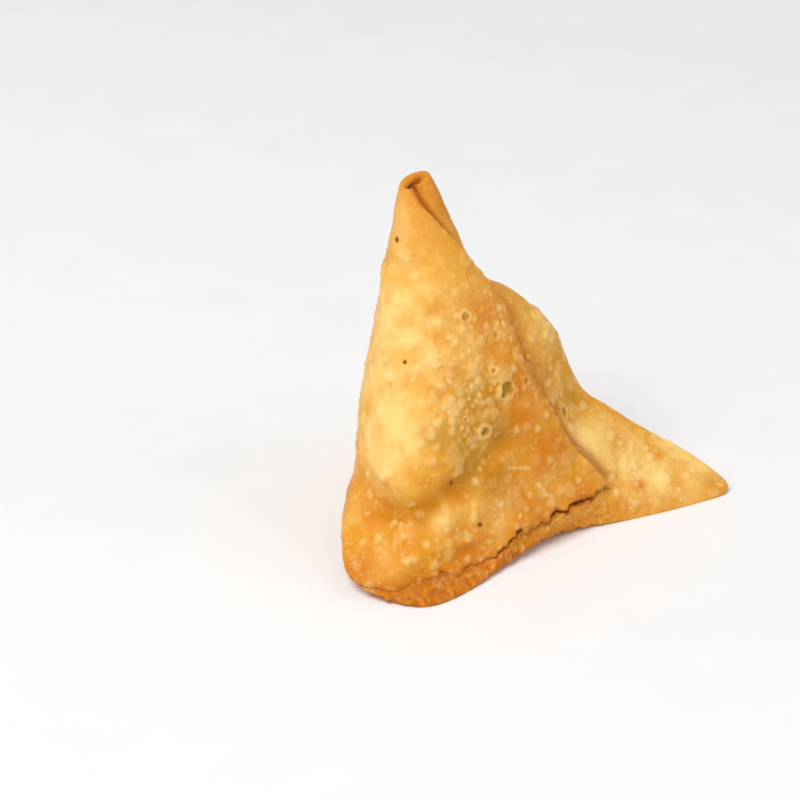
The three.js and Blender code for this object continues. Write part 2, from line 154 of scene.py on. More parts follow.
# Patches of colour: bearing, height, reach and strength
PATCHES = {
    # Pale: dough that has hardly browned, and painted highlight on the belly's top, on the small swell and
    # on the wing
    "pale": [(185, 47, 9, 0.9), (196, 31, 8, 1), (196, 24, 5, 1), (183, 26, 6, 0.8), (172, 38, 8, 0.8),
             (208, 58, 5, 0.3), (229, 61, 4, 0.3), (178, 67, 5, 0.7), (216.5, 13.6, 2.6, 1), (331, 16, 5, 1),
             (331, 6, 5, 1), (333, 10, 5, 0.8), (332, 3.5, 5, 0.7), (337, 5, 5, 0.9), (340, 8, 5, 0.8),
             (345, 40, 6, 0.5), (228, 42, 5, 0.6), (20, 24, 10, 0.8), (60, 40, 9, 0.6), (130, 30, 12, 0.8),
             (110, 12, 8, 0.5), (258, 44, 4, 0.4), (249, 12.5, 2.5, 0.5)],
    # Toast: browned dough, and painted shade under the belly's lower edge and on the darker right of the
    # front face
    "toast_and_shade": [(292, 27, 7, 1), (298, 33, 5, 1), (306, 39, 3.5, 0.7), (286, 48, 5, 0.8), (200, 9, 6, 0.6),
              (268, 9, 7, 0.7), (308, 34, 4.5, 1), (300, 20, 8, 0.9), (250, 20, 5, 1), (265, 14, 7, 0.7),
              (222, 17.5, 3.5, 1), (206, 14, 2.6, 1), (198, 13, 2.6, 0.9), (190, 13, 2.6, 0.8),
              (213, 16.5, 2.6, 0.9), (183, 11.5, 5, 0.8), (275, 30, 5, 0.7), (285, 43, 4, 0.6),
              (300, 40, 4, 0.6), (240, 40, 3.5, 0.5), (221, 10.5, 2, 0.8), (190, 5, 6, 1), (222, 4, 7, 0.9),
              (272, 8, 5, 0.8), (228, 2, 5, 0.6), (305, 9, 5, 0.9), (330, 0, 4, 0.4), (336, 13, 2.5, 0.4),
              (315.5, 12, 3, 0.6), (327, 5.5, 1.8, 0.9), (85, 12, 9, 0.8), (150, 8, 9, 0.8),
              (60, 28, 7, 0.6), (0, 10, 8, 0.5), (30, 8, 8, 0.7), (325, 29, 3.5, 0.6)],
    # Olive: the crust's olive tone, and painted shade in the hollows, under the belly's lower edge and in
    # the valley beyond the flap's edge
    "olive": [(243, 26, 5, 0.9), (241, 21, 5.5, 1), (194, 12.5, 3, 0.6), (232, 28, 5, 0.7),
              (205, 14, 3, 0.5), (213, 16.5, 3, 0.6), (222, 18, 3, 0.5), (230, 20, 3, 0.6),
              (267, 26, 4.5, 0.9), (258, 33, 5, 0.8), (270, 34, 5, 0.7), (339, 22.5, 3.5, 0.7),
              (342, 27, 4, 0.5), (328, 24, 3.5, 0.7), (322, 33, 4, 0.6), (255, 19.5, 4, 0.6),
              (236, 22, 3, 0.7), (340, 33, 5, 0.4), (334, 3, 3, 0.4), (40, 34, 6, 0.6), (125, 26, 6, 0.6),
              (95, 22, 5, 0.5), (250, 34.4, 3.2, 0.9), (243, 31, 3, 0.6), (257, 36, 2.6, 0.7)],
}

# Blisters spread all over by a rule
SPREAD_COUNT, SPREAD_LOW, SPREAD_HIGH, SPREAD_SMALL, SPREAD_LARGE = 90, 7, 60, 1.4, 2.9
# Fine blisters: the smallest and largest radius in the open, on the flap's edge and on the lip
OPEN_SIZES, EDGE_SIZES, LIP_SIZES = (0.45, 1.7), (0.4, 0.9), (0.25, 0.55)
EDGE_COUNT, LIP_COUNT = 70, 160
# How thickly fine blisters lie outside the crowds, and the heights where they thin out
THINLY, THIN_AT_FOOT, THIN_AT_TIP = 0.07, (0.5, 2), (60, 66)
# How far a blister or a ring strays from round, as a share of its radius
STRAY, RING_STRAY = 0.26, 0.25
# How far from the middle of a seed its dark colour starts to fade and ends
SEED_RADIUS = (0.3, 0.7)
# A burst bubble's ring and the edge of its hole, as shares of its radius
RING_AT, RING_WIDTH, RING_RISE, HOLE_EDGE, CLEAR_EDGE = 0.85, 0.26, 0.18, (0.3, 0.75), (0.7, 1.15)
# How rough the flap's edge is, and the skin in slow and in fine lumps, in millimetres
EDGE_ROUGH, SLOW_ROUGH, FINE_ROUGH = 0.2, 0.12, 0.035
# Stretches the noise so that it reaches from -1 to 1
NOISE_GAIN = 1.6
# How pale and wide the scratch is, and how the noise is squeezed so that its streaks run upwards
SCRATCH_PALE, SCRATCH_WIDTH, STREAKS = 0.8, 0.28, (1, 1, 0.16)
# How much of a blister's dry film is lost where the crust is brown and where shade is painted
FILM_LOST = 0.5

# How strong the blotches and clouds are, and the painted shade along the flap, on the lip and at the crack's
# rim
BLOTCH, CLOUD, SEAM_SHADE, BESIDE_SHADE, LIP_SHADE, RIM_SHADE = 0.4, 0.3, 0.75, 0.6, 0.5, 0.75
# Where the painted shade along the flap fades under the roll, and the bearings where the painted shade on
# the lip ends
SEAM_FADES_AT, LIP_SHADE_END = STALK + 2, (240, 262)
# How brown the foot and the roll are, and how dark the painted shade just beyond the flap's edge is
FOOT_BROWN, ROLL_BROWN, VALLEY_SHADE = 0.85, 0.7, 0.85
# The corner whose foot is paler: its bearing, how far round it goes and how much less brown it is
PALE_FOOT = (328, 28, 0.45)

# How fine the skin is cut
COLUMNS, FRONT_WEIGHT, FRONT_FROM, FRONT_TO = 650, 1.6, 180.0, 345.0
LAST_TURN, FINE_STEPS = 360 - 0.12, 3600
LOW_ROWS, HIGH_ROWS, EVEN_FROM = 44, 190, FLANGE + 5
BASE_ROWS, UNDER_ROWS, LIP_ROWS, DEPTH_ROWS, GAP_ROWS, ROLL_ROWS, HOLLOW_ROWS = 7, 6, 12, 3, 4, 12, 9
RIM_STEP, EDGE_STEP = 15, 18

# The studio: the point looked at in millimetres, and the sensor and lens of the camera
AIM, SENSOR, LENS = (-20.7, 2.86, 30.59), 36, 110.16
# Each light's azimuth and elevation in degrees, and its distance and width in metres
KEY_LIGHT, FILL_LIGHT = (-78, 57, 1.5, 1.0), (35, 25, 1.0, 0.8)
FLOOR_RADIUS, FLOOR_SIDES = 3, 64


class CrustShape(bpy.types.PropertyGroup):
    """Sizes of the crust's relief."""
    blister_rise: bpy.props.FloatProperty(
        name="Blister rise", description="Height of a blister as a share of its radius",
        default=0.26, min=0, max=1)
    crater_depth: bpy.props.FloatProperty(
        name="Crater depth", description="How deep a burst bubble is",
        default=0.45 * MM, unit="LENGTH")
    crumb: bpy.props.FloatProperty(
        name="Crumb", description="How rough the torn edge of the lip is",
        default=0.38 * MM, unit="LENGTH")
    small_blisters: bpy.props.IntProperty(
        name="Small blisters", description="How many fine blisters cover the crust",
        default=1200, min=0)
    seed: bpy.props.IntProperty(
        name="Seed", description="Picks the places of the fine blisters", default=7, min=0)


class CrustColours(bpy.types.PropertyGroup):
    """Colours of fried dough, from pale to the dark of painted shade."""


def linear(hex_colour):
    """The linear colour of an sRGB hex value such as F2C26B."""
    shares = [int(hex_colour[i:i + 2], 16) / 255 for i in (0, 2, 4)]
    return tuple(c / 12.92 if c <= 0.04045 else ((c + 0.055) / 1.055) ** 2.4 for c in shares)


PALETTE = {
    "golden": ("E49C20", "The crust's main colour"),
    # This colour is dough that has hardly browned, and painted highlight on top of swellings and on the wing
    "pale": ("FAD684", "Dough that has hardly browned, on top of swellings"),
    # This colour is browned dough, and also painted shade where the toast patches and the valley beyond the
    # flap's edge lie
    "brown_and_shade": ("D07400", "Browned dough at the foot, on the flap's edge and at the roll"),
    # This colour is the crust's own olive tone, and painted shade in the hollows, under the belly and beyond
    # the flap's edge
    "olive": ("B67C04", "Thin oily dough in the hollows"),
    "blister": ("FAD890", "The dry skin of a blister"),
    "crater": ("AC882A", "The inside of a burst bubble"),
    # This colour is painted shade: inside the crack, along the flap's edge, on the lip and in the roll's
    # hollow
    "deep_shade": ("A04C0E", "The inside of the crack, the fissure and the roll"),
    "seed": ("7A4518", "Ajwain seeds in the dough"),
}
for key, (hex_colour, words) in PALETTE.items():
    CrustColours.__annotations__[key] = bpy.props.FloatVectorProperty(
        name=key.capitalize(), description=words, subtype="COLOR", size=3, min=0, max=1,
        default=linear(hex_colour))


class StudioLook(bpy.types.PropertyGroup):
    """The camera, the lights and the floor."""
    azimuth: bpy.props.FloatProperty(
        name="Azimuth", description="Turn of the camera from the front face",
        default=math.radians(-37), subtype="ANGLE")
    elevation: bpy.props.FloatProperty(
        name="Elevation", description="Camera's height above the horizon",
        default=math.radians(30), subtype="ANGLE")
    distance: bpy.props.FloatProperty(
        name="Distance", description="From the camera to the samosa", default=0.48, unit="LENGTH")
    key_power: bpy.props.FloatProperty(
        name="Key power", description="Strength of the large soft light", default=18.5, unit="POWER")
    fill_power: bpy.props.FloatProperty(
        name="Fill power", description="Strength of the light from the right", default=1.5, unit="POWER")
    sky: bpy.props.FloatProperty(
        name="Sky", description="Brightness of the white room", default=0.42, min=0)


def smooth(value, low, high):
    """0 below low, 1 above high and a soft step between."""
    t = np.clip((value - low) / (high - low), 0, 1)
    return t * t * (3 - 2 * t)


def bell(distance, reach):
    return np.exp(-((distance / reach) ** 2))


def profile(pairs):
    """A smooth curve through the pairs of a profile, with no overshoot between them."""
    at, value = np.array(pairs, dtype=float).T
    step = np.diff(at)
    slope = np.diff(value) / step
    before = 2 * step[1:] + step[:-1]
    after = step[1:] + 2 * step[:-1]
    steady = slope[:-1] * slope[1:] > 0
    safe = np.where(slope == 0, 1, slope)
    tangent = np.r_[slope[0], (before + after) / (before / safe[:-1] + after / safe[1:]), slope[-1]]
    tangent[1:-1][~steady] = 0

    def curve(x):
        x = np.clip(x, at[0], at[-1])
        i = np.clip(np.searchsorted(at, x, side="right") - 1, 0, len(step) - 1)
        t = (x - at[i]) / step[i]
        rise = t * t * (3 - 2 * t)
        lean = tangent[i] * (1 - t) - tangent[i + 1] * t
        return value[i] * (1 - rise) + value[i + 1] * rise + step[i] * t * (1 - t) * lean
    return curve


axis_x, axis_y, core, front = (profile(pairs) for pairs in (AXIS_X, AXIS_Y, CORE, FRONT))
front_bearing, seam, flap_rise = profile(FRONT_BEARING), profile(SEAM), profile(FLAP_RISE)
seam_groove = profile(SEAM_GROOVE)
groove_width, crack_height = profile(GROOVE_WIDTH), profile(CRACK_HEIGHT)
crack_gap, flap_overhang = profile(CRACK_GAP), profile(FLAP_OVERHANG)
crack_depth, lip_lift = profile(CRACK_DEPTH), profile(LIP_LIFT)


def corner(sizes):
    """The outline of one corner, as a pointed or rounded oval about its bearing."""
    at = {name: profile(pairs) for name, pairs in sizes.items()}

    def outline(direction, height):
        turn = np.radians(direction - at["bearing"](height))
        side = at["width"](height)
        ahead = np.where(np.cos(turn) > 0, at["reach"](height), BACK_SHARE * side)
        power = at["power"](height)
        share = np.abs(np.cos(turn) / ahead) ** power + np.abs(np.sin(turn) / side) ** power
        return share ** (-1 / power)
    return outline


CORNERS = [corner(sizes) for sizes in (LOBE, WING, PLEAT)]
CORNER_BEARINGS = [profile(sizes["bearing"]) for sizes in (WING, PLEAT, LOBE)]


def form_radius(direction, height):
    """Distance of the plain form from the axis."""
    parts = [core(height)] + [outline(direction, height) for outline in CORNERS]
    blended = sum(part ** CORNER_BLEND for part in parts) ** (1 / CORNER_BLEND)
    facing = np.maximum(np.cos(np.radians(direction - front_bearing(height))), 1e-3)
    plane = front(height) / facing
    return (blended ** -FRONT_BLEND + plane ** -FRONT_BLEND) ** (-1 / FRONT_BLEND)


def place(direction, height, radius):
    """The point at a direction, height and distance from the axis."""
    turn = np.radians(direction)
    x = axis_x(height) + radius * np.cos(turn)
    y = axis_y(height) + radius * np.sin(turn)
    return np.stack([x, y, height + 0 * x], axis=-1)


def on_form(direction, height):
    direction, height = np.broadcast_arrays(np.asarray(direction, float), np.asarray(height, float))
    return place(direction, height, form_radius(direction, height))


def corner_turns(height):
    """The way round from the seam to each corner at a height."""
    turns = [(bearing(height) - seam(height)) % 360 for bearing in CORNER_BEARINGS]
    return [0 * turns[0], *turns, 360 + 0 * turns[0]]


def column_direction(turn, height):
    """The direction of a column at a height. Columns keep to the seam and to the corners."""
    turn, height = np.broadcast_arrays(np.asarray(turn, float), np.asarray(height, float))
    here, low = corner_turns(height), corner_turns(np.float64(FLANGE))
    direction = seam(height)
    for i in range(4):
        share = np.clip((turn - low[i]) / (low[i + 1] - low[i]), 0, 1)
        direction = direction + share * (here[i + 1] - here[i])
    return direction


def column_turns():
    """The way round from the seam of each column, spaced by length along the foot."""
    fine = np.linspace(0, 360, FINE_STEPS + 1)
    points = on_form(seam(FLANGE) + fine, FLANGE)
    lengths = np.linalg.norm(np.diff(points, axis=0), axis=1)
    toward = (seam(FLANGE) + fine[1:]) % 360
    lengths = lengths * np.where((toward > FRONT_FROM) & (toward < FRONT_TO), FRONT_WEIGHT, 1)
    along = np.r_[0, np.cumsum(lengths)]
    turns = np.interp(np.linspace(0, along[-1], COLUMNS), along, fine)
    turns[-1] = LAST_TURN
    return turns


def share(k, factor, start):
    return (k * factor + start) % 1


def spread_blisters():
    """Blisters all over, at the even but irregular places that the part's source gives them."""
    k = np.arange(SPREAD_COUNT)
    height = SPREAD_LOW + (SPREAD_HIGH - SPREAD_LOW) * share(k, 0.7549, 0.3) ** 1.3
    radius = SPREAD_SMALL + (SPREAD_LARGE - SPREAD_SMALL) * share(k, 0.5698, 0.1) ** 2
    return list(zip(360 * share(k, 0.618, 0.05), height, radius))


def unevenness(point):
    """Slow unevenness of hand-folded dough."""
    x, y, z = np.moveaxis(point, -1, 0)
    return (0.35 * np.sin(x / 4.3 + 1.3) * np.sin(y / 5.1 + z / 6.3)
            + 0.2 * np.sin(x / 2.3 - z / 3.1) * np.sin(y / 2.9 + 0.7))


def ragged(direction):
    """The crack wanders up and down along its length, and its edge is torn."""
    turn = np.radians(direction)
    torn = 0.12 * np.sin(turn * 97 + 2) + 0.09 * np.sin(turn * 171 + 0.4)
    return 0.35 * np.sin(turn * 23) + 0.25 * np.sin(turn * 41 + 1) + torn * np.sin(turn * 9)


def short_way(angle):
    return (angle + 180) % 360 - 180


def to_segment(points, start, end):
    """Distance of points from a straight line between two points."""
    along = np.clip((points - start) @ (end - start) / np.sum((end - start) ** 2), 0, 1)
    return np.linalg.norm(points - (start + along[..., None] * (end - start)), axis=-1)


def broad_relief(direction, height):
    """Swellings and hollows that stand out from the plain form."""
    form = form_radius(direction, height)
    point = place(direction, height, form)
    rise = unevenness(point) * smooth(height, GROUND, FLANGE) * (1 - smooth(height, NECK, TIP))
    for bearing, level, reach, swell in SWELLS.values():
        away = np.linalg.norm(point - on_form(bearing, level), axis=-1)
        rise = rise + swell * bell(away, reach)
    rise = rise + DENT_RISE * bell(to_segment(point, on_form(*DENT_FROM), on_form(*DENT_TO)), DENT_REACH)
    beyond = np.radians(short_way(direction - seam(height))) * form
    reach = smooth(height, VALLEY_FROM, BELLY) * (1 - smooth(height, SHOULDER, VALLEY_TO))
    return rise + VALLEY_RISE * bell(beyond - VALLEY_OFFSET, VALLEY_REACH) * reach


def seam_distances(direction, height):
    """How far a point lies behind the flap's edge, and how far ahead of it."""
    form = form_radius(direction, height)
    turn = (direction - seam(height)) % 360
    return np.radians(360 - turn) * form, np.radians(turn) * form


def skin_radius(direction, height):
    """Distance of the skin from the axis, with the flap and the groove beside it."""
    back, ahead = seam_distances(direction, height)
    thickness = flap_rise(height) * (FLAP_THIN + (1 - FLAP_THIN) * bell(back, FLAP_REACH))
    thickness = thickness * (1 - smooth(back, *FLAP_FADE))
    round_edge = np.sqrt(np.clip(1 - (1 - np.clip(back / FLAP_EDGE, 0, 1)) ** 2, 0, 1))
    groove = seam_groove(height) * bell(ahead, groove_width(height))
    return form_radius(direction, height) + broad_relief(direction, height) + thickness * round_edge - groove


def crack_at(direction):
    return crack_height(direction) + ragged(direction) * np.minimum(crack_depth(direction), 1)


def foot_rows(plan):
    """Rows from under the rim up to the flap's edge: the height and the inset of each column.

    Where the crack is closed, the rows above the rim are spread evenly over plain skin.
    """
    depth, lift, crack = crack_depth(plan), lip_lift(plan), crack_at(plan)
    opened = np.minimum(depth, 1)
    turn = np.radians(plan)
    gap = crack_gap(plan) * (1 + 0.5 * np.sin(turn * 31) * np.sin(turn * 12 + 1))
    rim = [(lift * k / UNDER_ROWS, BASE_INSET - (BASE_INSET - RIM_ROUND) * k / UNDER_ROWS + 0 * plan)
           for k in range(UNDER_ROWS)]
    for angle in np.radians(np.arange(0, 90, RIM_STEP)):
        rim.append((lift + RIM_ROUND * (1 - math.cos(angle)), RIM_ROUND * (1 - math.sin(angle)) + 0 * plan))
    low, top = lift + RIM_ROUND, crack - LIP_EDGE
    rows = [(low + (top - low) * k / LIP_ROWS, 0 * plan) for k in range(LIP_ROWS)]
    for angle in np.radians(np.arange(0, 91, EDGE_STEP)):
        rows.append((top + LIP_EDGE * math.sin(angle), opened * LIP_EDGE * (1 - math.cos(angle))))
    start = opened * LIP_EDGE
    rows += [(crack, start + (depth - start) * k / DEPTH_ROWS) for k in range(1, DEPTH_ROWS + 1)]
    rows += [(crack + gap * k / GAP_ROWS, depth + (opened * FLAP_TUCK - depth) * k / GAP_ROWS)
             for k in range(1, GAP_ROWS + 1)]
    for angle in np.radians(np.arange(EDGE_STEP, 91, EDGE_STEP)):
        rise = 0.5 * LIP_EDGE * (1 - math.cos(angle))
        outward = (FLAP_TUCK + flap_overhang(plan)) * math.sin(angle)
        rows.append((crack + gap + rise, opened * (FLAP_TUCK - outward)))
    first, last = rows[0][0], rows[-1][0]
    even = [first + (last - first) * k / (len(rows) - 1) for k in range(len(rows))]
    return rim + [(opened * height + (1 - opened) * flat, inset)
                  for (height, inset), flat in zip(rows, even)]


def tip_rows(direction, height, edge):
    """Rows from the roll's rim into its hollow: the size, the darkness of the painted shade and the offset
    of each.
    """
    bearing = math.radians(TIP_HOLE_BEARING)
    shift = TIP_HOLE_SHIFT * np.array([math.cos(bearing), math.sin(bearing), 0])
    up = np.array([0, 0, 1.0])
    for t in np.linspace(0.1, 1, ROLL_ROWS):
        size = 1 - (1 - TIP_HOLE_SHARE) * t
        rim = TIP_RIM_RISE * math.sin(math.pi * t ** 0.6) - ROLL_DIP * t ** 4
        yield direction, height, edge * size, ROLL_SHADE * t ** 3, shift * t + up * rim
    for t in np.linspace(0.12, 1, HOLLOW_ROWS):
        inner = edge * TIP_HOLE_SHARE * (1 - 0.85 * t ** 2)
        dark = ROLL_SHADE + (1 - ROLL_SHADE) * t
        yield direction, height, inner, dark, shift - up * (ROLL_DIP + TIP_HOLE_DEPTH * t)


def samosa_grid():
    """Rows of points from the flat base to the end of the hollow in the roll.

    Gives their places, directions, heights and how far each is inside the crack or the roll, which sets the
    painted shade there.
    """
    turns = column_turns()
    plan = column_direction(turns, LIP) % 360
    still = np.zeros(3)
    rows = []
    ground = column_direction(turns, GROUND)
    for k in range(1, BASE_ROWS):
        radius = (form_radius(ground, 0 * turns) - BASE_INSET) * k / BASE_ROWS
        rows.append((ground, 0 * turns, radius, 0, still))
    for height, inset in foot_rows(plan):
        direction = column_direction(turns, height) % 360
        skin = form_radius(direction, height) + broad_relief(direction, height)
        above = height > crack_at(plan) + 0.5 * crack_gap(plan)
        skin = np.where(above, skin_radius(direction, height), skin)
        inside = smooth(inset, *SHADE_INSET) * (height > LIP_EDGE + lip_lift(plan))
        rows.append((direction, height, skin - inset, inside, still))
    start = rows[-1][1]
    levels = [start + (EVEN_FROM - start) * k / LOW_ROWS for k in range(1, LOW_ROWS)]
    levels += [np.full(COLUMNS, z) for z in np.linspace(EVEN_FROM, TIP, HIGH_ROWS)]
    over = flap_overhang(plan) * np.minimum(crack_depth(plan), 1)
    for height in levels:
        direction = column_direction(turns, height)
        fade = over * (1 - smooth(height - start, 0, 3))
        rows.append((direction, height, skin_radius(direction, height) + fade, 0, still))
    rows += tip_rows(direction, height, skin_radius(direction, height))
    direction, height, radius = (np.stack([row[i] for row in rows]) for i in range(3))
    inside = np.stack([row[3] + 0 * turns for row in rows])
    points = place(direction, height, radius) + np.stack([row[4] for row in rows])[:, None]
    lean = RIM_TILT * np.cos(np.radians(direction - RIM_TILT_BEARING))
    points[..., 2] += lean * smooth(height, COLLAR, TIP)
    return points, direction % 360, height, inside


def grid_normals(points):
    """Outward normals of the grid's points, from their neighbours."""
    across = np.roll(points, -1, axis=1) - np.roll(points, 1, axis=1)
    up = np.gradient(points, axis=0)
    normals = np.cross(across, up)
    length = np.linalg.norm(normals, axis=-1, keepdims=True)
    return normals / np.maximum(length, 1e-9)


def value_noise(points, size, seed):
    """Smooth noise from -1 to 1 with lumps of about a size in millimetres."""
    offset = Vector((seed, 2.7 * seed, -1.3 * seed))
    flat = points.reshape(-1, 3) / size
    values = [noise.noise(Vector(p) + offset) for p in flat]
    return np.clip(np.array(values).reshape(points.shape[:-1]) * NOISE_GAIN, -1, 1)


def mixed_noise(points, coarse, fine, seed):
    """Noise with lumps of two sizes."""
    return value_noise(points, coarse, seed) + 0.5 * value_noise(points, fine, seed + 2)


def crowding(points, height):
    """How thickly fine blisters lie at each point."""
    dense = np.zeros(points.shape[:-1])
    for bearing, level, reach, thick in CROWDS:
        away = np.linalg.norm(points - on_skin(bearing, level), axis=-1)
        dense = np.maximum(dense, thick * bell(away, reach))
    return (THINLY + dense) * smooth(height, *THIN_AT_FOOT) * (1 - smooth(height, *THIN_AT_TIP))


def skin_areas(points):
    """Area of skin at each point of the grid, in square millimetres."""
    across = np.linalg.norm(np.roll(points, -1, axis=1) - points, axis=-1)
    return across * np.linalg.norm(np.gradient(points, axis=0), axis=-1)


def raise_blisters(points, places, radii, hollows, strengths, rise_share, layers):
    """Raises a low dome at each place, sunken in the middle where it is hollow, and marks it."""
    flat = points.reshape(-1, 3)
    rise, mark = layers["rise"].reshape(-1), layers["blister"].reshape(-1)
    shake = layers["wobble"].reshape(-1)
    order = np.argsort(flat[:, 2], kind="stable")
    levels = flat[order, 2]
    for middle, radius, hollow, strength in zip(places, radii, hollows, strengths):
        low, high = np.searchsorted(levels, [middle[2] - radius * 1.3, middle[2] + radius * 1.3])
        nearby = order[low:high]
        away = np.linalg.norm(flat[nearby] - middle, axis=1) / radius + STRAY * shake[nearby]
        spots, away = nearby[away < 1], np.clip(away[away < 1], 0, 1)
        sunk = hollow * bell(away, 0.5)
        dome = rise_share * radius * strength * (1 - away ** 2) ** 1.3 * (1 - 0.9 * sunk)
        rise[spots] = np.maximum(rise[spots], dome)
        film = strength * (0.55 + 0.45 / max(radius, 1)) * smooth(1 - away, 0, 0.7) * (1 - 0.85 * sunk)
        mark[spots] = np.maximum(mark[spots], film)


class SAMOSA_OT_crust(bpy.types.Operator):
    """Builds the samosa's blistered crust over its plain solid"""
    bl_idname = "samosa.crust"
    bl_label = "Add the crust"

    def execute(self, context):
        shape = context.scene.samosa_shape
        points, direction, height, inside = samosa_grid()
        normals = grid_normals(points)
        back, ahead = seam_distances(direction, height)
        layers = {name: np.zeros(points.shape[:2]) for name in ("rise", "blister", "crater", "seed")}
        layers["wobble"] = value_noise(points, 1.2, 3)
        add_blisters(points, height, back, shape, layers)
        burst_bubbles(points, shape, layers)
        add_seeds(points, layers)
        crumble(points, direction, height, back, shape, layers)
        uneven = 0.5 * mixed_noise(points, 5, 2.2, 51)
        for name, patches in PATCHES.items():
            layers[name] = patch_layer(points, patches, uneven)
        layers["toast_and_shade"] = brown_more(layers, direction, height, back, ahead)
        cloud_over(points, layers)
        # Painted shade inside the crack and the roll's hollow, joined with the painted shade along the flap,
        # on the lip and at the crack's rim
        layers["painted_shade"] = np.maximum(inside, deep_shade(points, direction, height, ahead))
        layers["blister"] *= 1 - FILM_LOST * layers["toast_and_shade"]
        scratch = to_segment(points, on_skin(*SCRATCH_FROM), on_skin(*SCRATCH_TO))
        layers["blister"] = np.maximum(layers["blister"], SCRATCH_PALE * bell(scratch, SCRATCH_WIDTH))
        layers["drag"] = value_noise(points * np.array(STREAKS), 0.8, 61)
        standing = smooth(height, GROUND, 0.5) * (1 - inside)
        points = points + normals * (layers["rise"] * standing)[..., None]
        points[..., 2] = np.maximum(points[..., 2], 0)
        piece = grid_mesh("samosa_crust", points)
        for name in MARKS:
            attribute = piece.data.attributes.new(name, "FLOAT", "POINT")
            values = np.r_[layers[name].ravel(), layers[name][0].mean(), layers[name][-1].mean()]
            attribute.data.foreach_set("value", values.astype(np.float32))
        piece.data.materials.append(fried_dough(context.scene.samosa_colours))
        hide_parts("samosa")
        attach(piece, "root")
        return {"FINISHED"}


MARKS = ("pale", "toast_and_shade", "olive", "blister", "crater", "painted_shade", "seed", "drag")


def add_blisters(points, height, back, shape, layers):
    """Raises the blisters that show most, then seeded fine ones where they crowd."""
    rng = np.random.default_rng(shape.seed)
    spread = spread_blisters()
    places = [on_skin(bearing, level) for bearing, level, _ in DOMES + spread]
    radii = [radius for _, _, radius in DOMES + spread]
    strengths = [1] * len(DOMES) + list(0.3 + 0.4 * rng.random(len(spread)))
    hollows = [0.15] * len(DOMES) + list(0.7 * rng.random(len(spread)))
    raise_blisters(points, places, radii, hollows, strengths, shape.blister_rise, layers)
    flat = points.reshape(-1, 3)
    ridge = bell(back - 1.6, 1.5) * smooth(height, BELLY, MIDDLE) * (1 - smooth(height, BROW, STALK))
    lip = (height < crack_at(np.float64(250)) + 1) * smooth(height, 0.5, 1.5)
    for thick, count, (least, most) in ((crowding(points, height), shape.small_blisters, OPEN_SIZES),
                                        (ridge, EDGE_COUNT, EDGE_SIZES), (lip, LIP_COUNT, LIP_SIZES)):
        weight = (thick * skin_areas(points)).ravel()
        chosen = rng.choice(len(flat), size=count, p=weight / weight.sum())
        sizes = least + (most - least) * rng.random(count) ** 1.8
        raise_blisters(points, flat[chosen], sizes, (rng.random(count) > 0.5) * rng.random(count),
                       0.3 + 0.7 * rng.random(count) ** 1.3, shape.blister_rise, layers)


def add_seeds(points, layers):
    """Marks the ajwain seeds."""
    for bearing, level in AJWAIN:
        away = np.linalg.norm(points - on_skin(bearing, level), axis=-1) + 0.2 * layers["wobble"]
        layers["seed"] = np.maximum(layers["seed"], 1 - smooth(away, *SEED_RADIUS))


def burst_bubbles(points, shape, layers):
    """Presses the burst bubbles in, each with a torn pale ring."""
    for bearing, level, radius in RINGS:
        away = np.linalg.norm(points - on_skin(bearing, level), axis=-1) / radius
        away = away + RING_STRAY * layers["wobble"]
        ring = bell(away - RING_AT, RING_WIDTH)
        hole = (1 - smooth(away, *HOLE_EDGE)) * min(radius / 2, 1)
        clear = smooth(away, *CLEAR_EDGE)
        sunk = shape.crater_depth / MM * hole
        layers["rise"] = layers["rise"] * clear + RING_RISE * radius * ring - sunk
        layers["blister"] = np.maximum(layers["blister"] * clear, 0.9 * ring)
        layers["crater"] = np.maximum(layers["crater"], hole)


def crumble(points, direction, height, back, shape, layers):
    """Roughens the torn lip, the edges of the crack and the flap's edge."""
    crumb = value_noise(points, 0.9, 11) + 0.6 * value_noise(points, 0.45, 23)
    crack = crack_at(direction)
    opened = np.minimum(crack_depth(direction), 1) * (height < COLLAR)
    torn = opened * bell(height - crack, 1.5)
    lip = opened * (1 - smooth(height - crack, -0.5, 0.3)) * smooth(height, 0.3, 1.2)
    edge = bell(back - 0.6, 1.5) * (height > crack + 0.5) * (height < TIP - 0.1)
    layers["rise"] += (shape.crumb / MM * crumb * np.clip(0.6 * torn + 0.9 * lip, 0, 1)
                       + EDGE_ROUGH * value_noise(points, 1.6, 31) * edge
                       + SLOW_ROUGH * value_noise(points, 3.2, 41) * smooth(height, GROUND, LIP)
                       + FINE_ROUGH * value_noise(points, 0.8, 71))


def patch_layer(points, patches, uneven):
    """Soft patches with uneven edges, from 0 to 1."""
    layer = np.zeros(points.shape[:-1])
    for bearing, level, reach, strength in patches:
        away = np.linalg.norm(points - on_skin(bearing, level), axis=-1) / reach
        layer = np.maximum(layer, strength * bell(away + 0.5 * uneven * (away > 0.1), 1))
    return layer


def brown_more(layers, direction, height, back, ahead):
    """Browns the foot, the roll and the flap's edge, and paints shade just beyond the flap's edge, beside
    the patches that are brown already.
    """
    spared = 1 - 0.75 * layers["pale"]
    bearing, reach, less = PALE_FOOT
    foot = FOOT_BROWN - less * bell(short_way(direction - bearing), reach)
    toast_and_shade = np.maximum(layers["toast_and_shade"], foot * spared * (1 - smooth(height, 1, FLANGE + 1)))
    toast_and_shade = np.maximum(toast_and_shade, ROLL_BROWN * spared * smooth(height, STALK - 3, TIP))
    along = smooth(height, WAIST, MIDDLE) * (1 - smooth(height, BROW, STALK))
    # The flap's own edge is browned; just beyond it, in the valley, shade is painted
    edge = np.maximum(bell(back, 3.2), VALLEY_SHADE * bell(ahead - 1.5, 2.5))
    return np.clip(np.maximum(toast_and_shade, edge * along), 0, 1)


